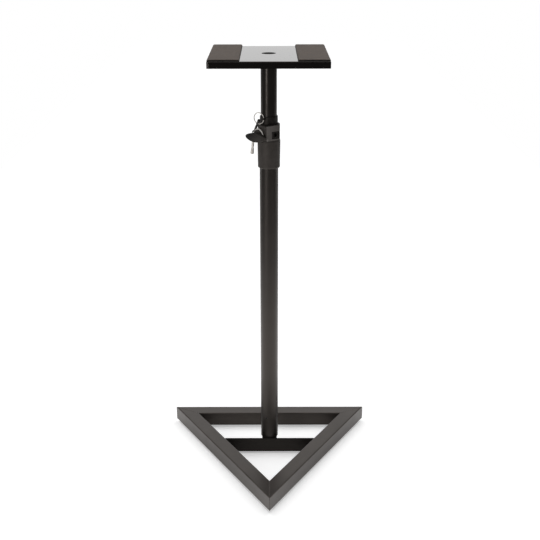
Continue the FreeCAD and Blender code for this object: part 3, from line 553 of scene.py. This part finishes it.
# Painted light on the pin's flat, and a painted highlight at its corner's foot.
lit_pin_flat(collar_plastic)
finished(collar_plastic, "collar")
skin("collar_foot_lip", foot_lip(), collar_plastic, "base", closed=True)
finished(screw_steel, "collar_screw")
bush_plastic = moulded_plastic(
    "bush_plastic", dark=(0.0095, 0.0082, 0.0074), light=(0.0185, 0.0166, 0.0153),
    roughness=0.46, specular=0.35, lump=0.0004, depth=0.00004,
)
finished(bush_plastic, "guide_bush", "pin_guide")


# Upper tube: a thinner drawn tube that slides in the column on a plastic guide, coated a little
# glossier so that it runs freely. Its row of pin holes faces the collar's pin sleeve.

tube_coat = powder_coat(
    "tube_powder_coat", dark=(0.0115, 0.0098, 0.0088), light=(0.0175, 0.0153, 0.0140),
    roughness=0.29, specular=0.46, peel=0.000004, lines=DRAWN,
)
finished(tube_coat, "inner_tube")
finished(bush_plastic, "lower_guide")


# Hand screw: a zinc plated stud in a brass insert, which presses a nylon pad on the upper tube. Its
# wing of black plastic is moulded round the stud's head and painted paler towards its right end, as
# painted light. An open bow of bright spring wire sits round the collar's boss; its pale colour is
# partly painted reflection.

DIPPED_BLACK = (0.008, 0.008, 0.008)
PLATING_SHADE = 0.86

SCREW_AXIS = np.array([-math.cos(COLLAR_TURN), -math.sin(COLLAR_TURN), 0.0])
SCREW_HEIGHT = 0.670
CLIP_OUT = 0.02455
CLIP_CENTRE = np.array([*BASE_CENTRE, SCREW_HEIGHT]) + CLIP_OUT * SCREW_AXIS
CLIP_BEND = 0.0141
CLIP_THIN, CLIP_THICK = 0.0007, 0.0014
CLIP_THICKENS_FROM, CLIP_THICKENS_OVER = -1.0, 1.2
CLIP_DEPTH = 0.0009
CLIP_REACH = math.radians(104.0)
# Where along the knob's wing its painted light begins and is complete.
LIT_FROM, LIT_TO = -0.0640, -0.0340


def plated_steel(name, colour, roughness, lines=(1.0, 1.0, 1.0), metallic=1.0, dipped=None):
    """Plated metal: fine rubbing lines and a slightly uneven plating. Less than full metallic shows
    the colour as pale diffuse paint, which on the bright parts is partly painted reflection. Dipped
    is the height above which the piece has a thin black plastic skin."""
    finish, tree, shader, place = new_finish(name)
    shader.inputs["Metallic"].default_value = metallic
    cloud = spread(tree, grain(tree, place, lump=0.004, detail=4.0), low=0.0, high=1.0)
    tinted(tree, shader, cloud, tuple(PLATING_SHADE * part for part in colour), colour)
    if dipped:
        skinned = higher_than(tree, place, dipped)
        bared = spread(tree, skinned, low=metallic, high=0.0, start=0.0, end=1.0)
        tree.links.new(bared, shader.inputs["Metallic"])
        laid_over(tree, shader, skinned, DIPPED_BLACK)
    rubbing_and_light = grain(tree, stretched(tree, place, *lines), lump=0.0005, detail=3.0)
    relief(tree, shader, rubbing_and_light, depth=0.00002)
    glossed(tree, shader, rubbing_and_light, roughness, below=0.05, above=0.08)
    return finish


def eased(share):
    """A smooth rise from 0 to 1: three times the share's square less twice its cube."""
    held = np.clip(share, 0.0, 1.0)
    return held * held * (3.0 - 2.0 * held)


def half_round(share):
    """The height of a half circle's end at a share of its radius, and full height past it."""
    return np.sqrt(1.0 - (1.0 - np.minimum(share, 1.0)) ** 2)


def clip_bow(steps=120, around=16):
    """An open bow of flattened wire about the hand screw's axis: an ellipse carried round the
    boss's rim, from one side over the top to the other, that thickens smoothly on its way and
    closes as a half circle at its ends."""
    turn = np.linspace(-CLIP_REACH, CLIP_REACH, steps)
    outward = np.outer(np.sin(turn), PIN_FLAT) + np.outer(np.cos(turn), UPRIGHT)
    thickening = eased((turn - CLIP_THICKENS_FROM) / CLIP_THICKENS_OVER)
    thick = CLIP_THIN + (CLIP_THICK - CLIP_THIN) * thickening
    radius = CLIP_BEND + thick
    to_end = (CLIP_REACH - np.abs(turn)) * radius
    swell = np.maximum(half_round(to_end / CLIP_DEPTH), LEAST_SWELL)
    section = oval((swell * thick)[:, None], (swell * CLIP_DEPTH)[:, None], around)
    path = CLIP_CENTRE + radius[:, None] * outward
    return swept(path, outward, np.broadcast_to(SCREW_AXIS, (steps, 3)), section)


insert_brass = plated_steel("insert_brass", colour=(0.70, 0.52, 0.24), roughness=0.3)
finished(insert_brass, "screw_insert")
zinc_steel = plated_steel("zinc_plated_steel", colour=(0.62, 0.62, 0.61), roughness=0.34)
finished(zinc_steel, "clamp_stud")
pad_nylon = moulded_plastic(
    "pad_nylon", dark=(0.52, 0.5, 0.46), light=(0.64, 0.62, 0.58),
    roughness=0.45, specular=0.45, lump=0.0004, depth=0.00003,
)
finished(pad_nylon, "clamp_pad")
# Partly painted reflection: a pale colour, only a quarter metallic, so the wire shows bright as if
# mirroring lamps.
clip_steel = plated_steel(
    "bright_spring_wire", colour=(0.97, 0.93, 0.88), roughness=0.34, metallic=0.25
)
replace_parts(skin("clip_bow", clip_bow(), clip_steel, "base"), "boss_clip")
# Painted light: the knob's colour runs from dark to pale along its wing.
knob_plastic = moulded_plastic(
    "knob_plastic", dark=(0.0060, 0.0053, 0.0050), light=(0.044, 0.0390, 0.0364),
    roughness=0.50, specular=0.2, lump=0.0006, depth=0.00004,
    lit_along=(PIN_FLAT, LIT_FROM, LIT_TO),
)
finished(knob_plastic, "wing_knob")


# Tether: a bright split ring through the bush's ear, a black plastic link with a moulded tab and
# arm, and the lock pin, turned from plated steel, that hangs from the link by its eye. The eye is
# dipped in black plastic.

# The bright plating's pale colour at half metallic is partly painted reflection on the ring and
# pin.
BRIGHT_PLATING = (0.92, 0.87, 0.81)
BRIGHT_ROUGHNESS = 0.38
BRIGHT_METALLIC = 0.5
RUBBED_ROUND = (1.0, 1.0, 4.0)
EYE_FOOT = 0.6750

RING_CENTRE = np.array([-0.018455, 0.048625, 0.7045])
RING_TURN = math.radians(-31.0)
RING_RADIUS = 0.0104
RING_WIRE = 0.0008
RING_WIRE_ACROSS, RING_WIRE_DEEP = 0.49, 0.9
RING_STEP_FROM, RING_STEP_OVER = 1.9 * math.pi, 0.2 * math.pi

LINK_HOOK = np.array([-0.020762, 0.050011, 0.694454])
LINK_LEAN = math.radians(33.0)
LINK_GRIPS = {
    "link_tab": {"start": 0.0021, "end": 0.0104, "width": 0.0026, "thickness": 0.0031},
    "link_arm": {"start": -0.0160, "end": -0.0030, "width": 0.0018, "thickness": 0.0026},
}
GRIP_FIRST, GRIP_LAST = 0.02, 0.98


def split_ring(steps=360, around=12):
    """Two turns of wire side by side: a circle in the ring's upright plane, run through twice,
    that steps across by one wire, smoothly, where the second turn begins. Each turn is an
    ellipse half as thick as it is deep, so that both fill the round section of the solid."""
    turn = np.linspace(0.0, 4.0 * np.pi, steps)
    level = np.array([math.cos(RING_TURN), math.sin(RING_TURN), 0.0])
    across = np.array([level[1], -level[0], 0.0])
    outward = np.outer(np.cos(turn), level) + np.outer(np.sin(turn), UPRIGHT)
    step = (eased((turn - RING_STEP_FROM) / RING_STEP_OVER) - 0.5) * RING_WIRE
    path = RING_CENTRE + RING_RADIUS * outward + step[:, None] * across
    section = RING_WIRE * oval(RING_WIRE_ACROSS, RING_WIRE_DEEP, around)
    sections = np.broadcast_to(section, (steps, around, 2))
    return swept(path, np.broadcast_to(across, (steps, 3)), outward, sections)


def grip(start, end, width, thickness, steps=48, around=24):
    """A swelling moulded on the link between two distances along it: ellipses across the link that
    grow to full size at each end as a half circle does, with the steps crowded at the ends."""
    level, upright = np.array(PIN_FLAT), np.array(UPRIGHT)
    line = math.sin(LINK_LEAN) * level + math.cos(LINK_LEAN) * upright
    through = math.cos(LINK_LEAN) * level - math.sin(LINK_LEAN) * upright
    share = np.sin(np.linspace(GRIP_FIRST, GRIP_LAST, steps) * np.pi / 2.0) ** 2
    distance = start + share * (end - start)
    swell = half_round(np.minimum(distance - start, end - distance) / thickness)
    section = oval(width, thickness, around)[:, ::-1]
    path = LINK_HOOK + distance[:, None] * line
    sides = np.tile(through, (steps, 1)), np.tile(SCREW_AXIS, (steps, 1))
    return swept(path, *sides, swell[:, None, None] * section)


bright_steel = plated_steel(
    "bright_plated_steel", BRIGHT_PLATING, BRIGHT_ROUGHNESS, RUBBED_ROUND, BRIGHT_METALLIC
)
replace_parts(skin("split_ring", split_ring(), bright_steel, "base"), "tether_ring")
link_plastic = moulded_plastic(
    "link_plastic", dark=(0.008, 0.008, 0.008), light=(0.02, 0.02, 0.02),
    roughness=0.45, specular=0.4, lump=0.0007, depth=0.00005,
)
finished(link_plastic, "tether_link")
for name, sizes in LINK_GRIPS.items():
    skin(name, grip(**sizes), link_plastic, "base")
pin_steel = plated_steel(
    "dipped_pin_steel", BRIGHT_PLATING, BRIGHT_ROUGHNESS, RUBBED_ROUND, BRIGHT_METALLIC,
    dipped=EYE_FOOT,
)
finished(pin_steel, "lock_pin")


# Top plate: sheet steel tray folded down on four sides, with a socket ring welded under it, coated
# smoother than the base. A wide countersunk screw in its dished middle holds it to the tapped plug
# in the upper tube's end.

LEVEL_ROUGHNESS, FOLDED_ROUGHNESS = 0.085, 0.13
CLEAR_COAT = 0.2
PLATE_UNDERSIDE = 0.8195
SOCKET_RADIUS = 0.019
SOCKET_BEAD = 0.0014


def clear_coated(finish):
    """Adds a thin clear coat, and makes the folded sides a little duller than the level top."""
    tree, shader, _ = opened(finish)
    shader.inputs["Coat Weight"].default_value = CLEAR_COAT
    level = facing(tree, UPRIGHT, start=0.5, end=0.8)
    dulled = spread(tree, level, FOLDED_ROUGHNESS, LEVEL_ROUGHNESS, start=0.0, end=1.0)
    tree.links.new(dulled, shader.inputs["Roughness"])


plate_coat = powder_coat(
    "plate_powder_coat", dark=(0.0022, 0.0019, 0.0017), light=(0.0045, 0.0040, 0.0037),
    roughness=LEVEL_ROUGHNESS, specular=0.63, peel=0.000002,
)
clear_coated(plate_coat)
finished(plate_coat, "top_plate", "plate_socket")
socket_ring = ring_bead(
    BASE_CENTRE, PLATE_UNDERSIDE - BEAD_OFFSET, SOCKET_RADIUS + BEAD_OFFSET, SOCKET_BEAD
)
skin("socket_bead", socket_ring, plate_coat, "mast", closed=True)
finished(zinc_steel, "top_plug")
screw_paint = rubber(
    "dull_black_paint", dark=(0.004, 0.0036, 0.0034), light=(0.010, 0.009, 0.0085),
    roughness=0.94, lump=0.0008, depth=0.00004, specular=0.1,
)
finished(screw_paint, "plate_screw")


# Rubber strips: two die-cut strips of brown-black foam rubber, glued along the plate's sides to
# grip the speaker. The cut leaves an open, crumbly grain, and the upright faces are coloured
# darker.

UPRIGHT_FACE_DARK = (0.0060, 0.0048, 0.0040)
STRIP_CORNER = 0.0012
STRIP_ACROSS, STRIP_LONG = 28, 96


def darken_upright_faces(finish):
    """Lays a darker colour over the faces that stand upright."""
    tree, shader, _ = opened(finish)
    level = facing(tree, UPRIGHT, start=0.3, end=0.8)
    upright_darkening = spread(tree, level, low=1.0, high=0.0, start=0.0, end=1.0)
    laid_over(tree, shader, upright_darkening, UPRIGHT_FACE_DARK)


def strip(low, high):
    """A slab with rounded upper edges: one ring across the strip at each step along it. A ring is
    a flat bottom, upright sides, and a flat top that falls at both edges as a quarter circle."""
    share = np.linspace(0.0, 1.0, STRIP_ACROSS)
    width = high[0] - low[0]
    rim = np.minimum(share, 1.0 - share) * width
    inset = STRIP_CORNER - np.minimum(rim, STRIP_CORNER)
    drop = STRIP_CORNER - np.sqrt(STRIP_CORNER**2 - inset**2)
    top = np.stack([low[0] + share * width, high[2] - drop], axis=-1)
    bottom = np.stack([low[0] + share[::-1] * width, np.full(STRIP_ACROSS, low[2])], axis=-1)
    section = np.concatenate([top, bottom])
    ring = np.broadcast_to(section, (STRIP_LONG, *section.shape))
    length = np.linspace(low[1], high[1], STRIP_LONG)
    y = np.broadcast_to(length[:, None], ring.shape[:2])
    return np.stack([ring[..., 0], y, ring[..., 1]], axis=-1)


strip_rubber = rubber(
    "strip_rubber", dark=(0.056, 0.0425, 0.034), light=(0.108, 0.085, 0.070),
    roughness=0.8, lump=0.0011, depth=0.0003,
)
# Darker colour on the strips' upright faces.
darken_upright_faces(strip_rubber)
for name in ("left_pad", "right_pad"):
    low, high = (np.array(corner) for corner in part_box(name))
    piece = skin(f"{name}_strip", strip(low, high), strip_rubber, "mast")
    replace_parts(piece, name)


# Studio: a white sweep for a floor, a wide soft box overhead, a low one at each side, a tall one in
# front at the left, and a camera on a tripod in front, as for a catalogue picture.

SWEEP_SIDE = 1.2
SWEEP_FRONT = -1.0
SWEEP_BACK = 7.0
SWEEP_MIDDLE = (0.0, 0.0, 0.0)
STAND_MIDDLE = (0.0, 0.1, 0.0)
PAPER = (0.82, 0.82, 0.82, 1.0)
PAPER_ROUGHNESS = 0.9
WHITE = (1.0, 1.0, 1.0, 1.0)

floor_mesh = bpy.data.meshes.new("floor")
floor_mesh.from_pydata(
    [
        (-SWEEP_SIDE, SWEEP_FRONT, 0.0), (SWEEP_SIDE, SWEEP_FRONT, 0.0),
        (SWEEP_SIDE, SWEEP_BACK, 0.0), (-SWEEP_SIDE, SWEEP_BACK, 0.0),
    ],
    [], [(0, 1, 2, 3)],
)
floor = bpy.data.objects.new("floor", floor_mesh)
bpy.context.scene.collection.objects.link(floor)

paper, paper_tree, paper_shader, paper_place = new_finish("white_sweep")
paper_shader.inputs["Base Color"].default_value = PAPER
paper_shader.inputs["Roughness"].default_value = PAPER_ROUGHNESS
paper_shader.inputs["Specular IOR Level"].default_value = 0.0
paper_shader.inputs["Emission Color"].default_value = WHITE
from_middle = from_point(paper_tree, paper_place, SWEEP_MIDDLE)
from_stand = from_point(paper_tree, paper_place, STAND_MIDDLE)
glow = spread(paper_tree, from_middle, low=0.385, high=0.645, start=0.8, end=4.0)
# Seen only in reflections, the sweep glows as painted light, dimmed close round the stand as
# painted shade and fading away from the middle.
clear_of_stand = spread(paper_tree, from_stand, low=0.10, high=0.95, start=0.13, end=0.42)
near_middle = spread(paper_tree, from_middle, low=1.0, high=0.0, start=0.6, end=1.2)
sheen = combined(paper_tree, "MULTIPLY", clear_of_stand, near_middle)
paper_rays = paper_tree.nodes.new("ShaderNodeLightPath").outputs
mirrored = combined(
    paper_tree, "MAXIMUM", paper_rays["Is Glossy Ray"], paper_rays["Is Transmission Ray"]
)
paper_seen = combined(paper_tree, "MULTIPLY", paper_rays["Is Camera Ray"], glow)
paper_mirrored = combined(paper_tree, "MULTIPLY", mirrored, sheen)
paper_tree.links.new(
    combined(paper_tree, "MAXIMUM", paper_seen, paper_mirrored),
    paper_shader.inputs["Emission Strength"],
)
floor_mesh.materials.append(paper)

world = bpy.data.worlds.new("studio")
bpy.context.scene.world = world
world.use_nodes = True
sky = world.node_tree
room = sky.nodes.new("ShaderNodeSeparateXYZ")
sky.links.new(sky.nodes.new("ShaderNodeTexCoord").outputs["Generated"], room.inputs["Vector"])
backdrop = spread(sky, room.outputs["Y"], low=0.07, high=1.0, start=0.77, end=0.87)
fill = spread(sky, room.outputs["Y"], low=0.28, high=0.64, start=-0.5, end=0.5)
sky_rays = sky.nodes.new("ShaderNodeLightPath").outputs
sky_fill = combined(sky, "MULTIPLY", sky_rays["Is Diffuse Ray"], fill)
sky_lit = combined(sky, "MAXIMUM", sky_rays["Is Camera Ray"], sky_fill)
sky_background = sky.nodes["Background"].inputs
sky.links.new(combined(sky, "MAXIMUM", sky_lit, backdrop), sky_background["Strength"])
sky_background["Color"].default_value = WHITE


def soft_box(name, place, aim, width, height, power):
    """A rectangular lamp at place, facing aim."""
    lamp = bpy.data.lights.new(name, "AREA")
    lamp.shape = "RECTANGLE"
    lamp.size, lamp.size_y, lamp.energy = width, height, power
    holder = bpy.data.objects.new(name, lamp)
    bpy.context.scene.collection.objects.link(holder)
    holder.location = place
    x, y, z = np.subtract(aim, place)
    tilt = math.atan2(math.hypot(x, y), -z)
    holder.rotation_euler = (tilt, 0.0, math.atan2(y, x) - math.pi / 2.0)


soft_box("overhead_box", (0.0, 0.5, 2.7), (0.0, 0.1, 0.3), width=2.4, height=2.4, power=40.0)
soft_box("left_box", (-1.8, 0.9, 0.15), (0.0, 0.06, 0.1), width=1.0, height=0.28, power=1.5)
soft_box("right_box", (1.8, 0.9, 0.15), (0.0, 0.06, 0.1), width=1.0, height=0.28, power=1.5)
soft_box(
    "front_strip_box", (-1.17, -1.80, 0.85), (0.0, 0.06, 0.6), width=0.42, height=1.3, power=10.5
)

CAMERA_PLACE = (0.00165, -1.7059, 1.05095)
CAMERA_PITCH = 20.20
CAMERA_ROLL = -0.10
FOCAL_PIXELS = 954.64
PICTURE_PIXELS = 540.0
SENSOR = 36.0

camera_data = bpy.data.cameras.new("camera")
camera_data.sensor_width = SENSOR
camera_data.lens = FOCAL_PIXELS / PICTURE_PIXELS * SENSOR
camera = bpy.data.objects.new("camera", camera_data)
bpy.context.scene.collection.objects.link(camera)
camera.matrix_world = (
    Matrix.Translation(CAMERA_PLACE)
    @ Matrix.Rotation(math.radians(90.0 - CAMERA_PITCH), 4, "X")
    @ Matrix.Rotation(math.radians(CAMERA_ROLL), 4, "Z")
)
bpy.context.scene.camera = camera
bpy.context.scene.view_settings.view_transform = "Standard"
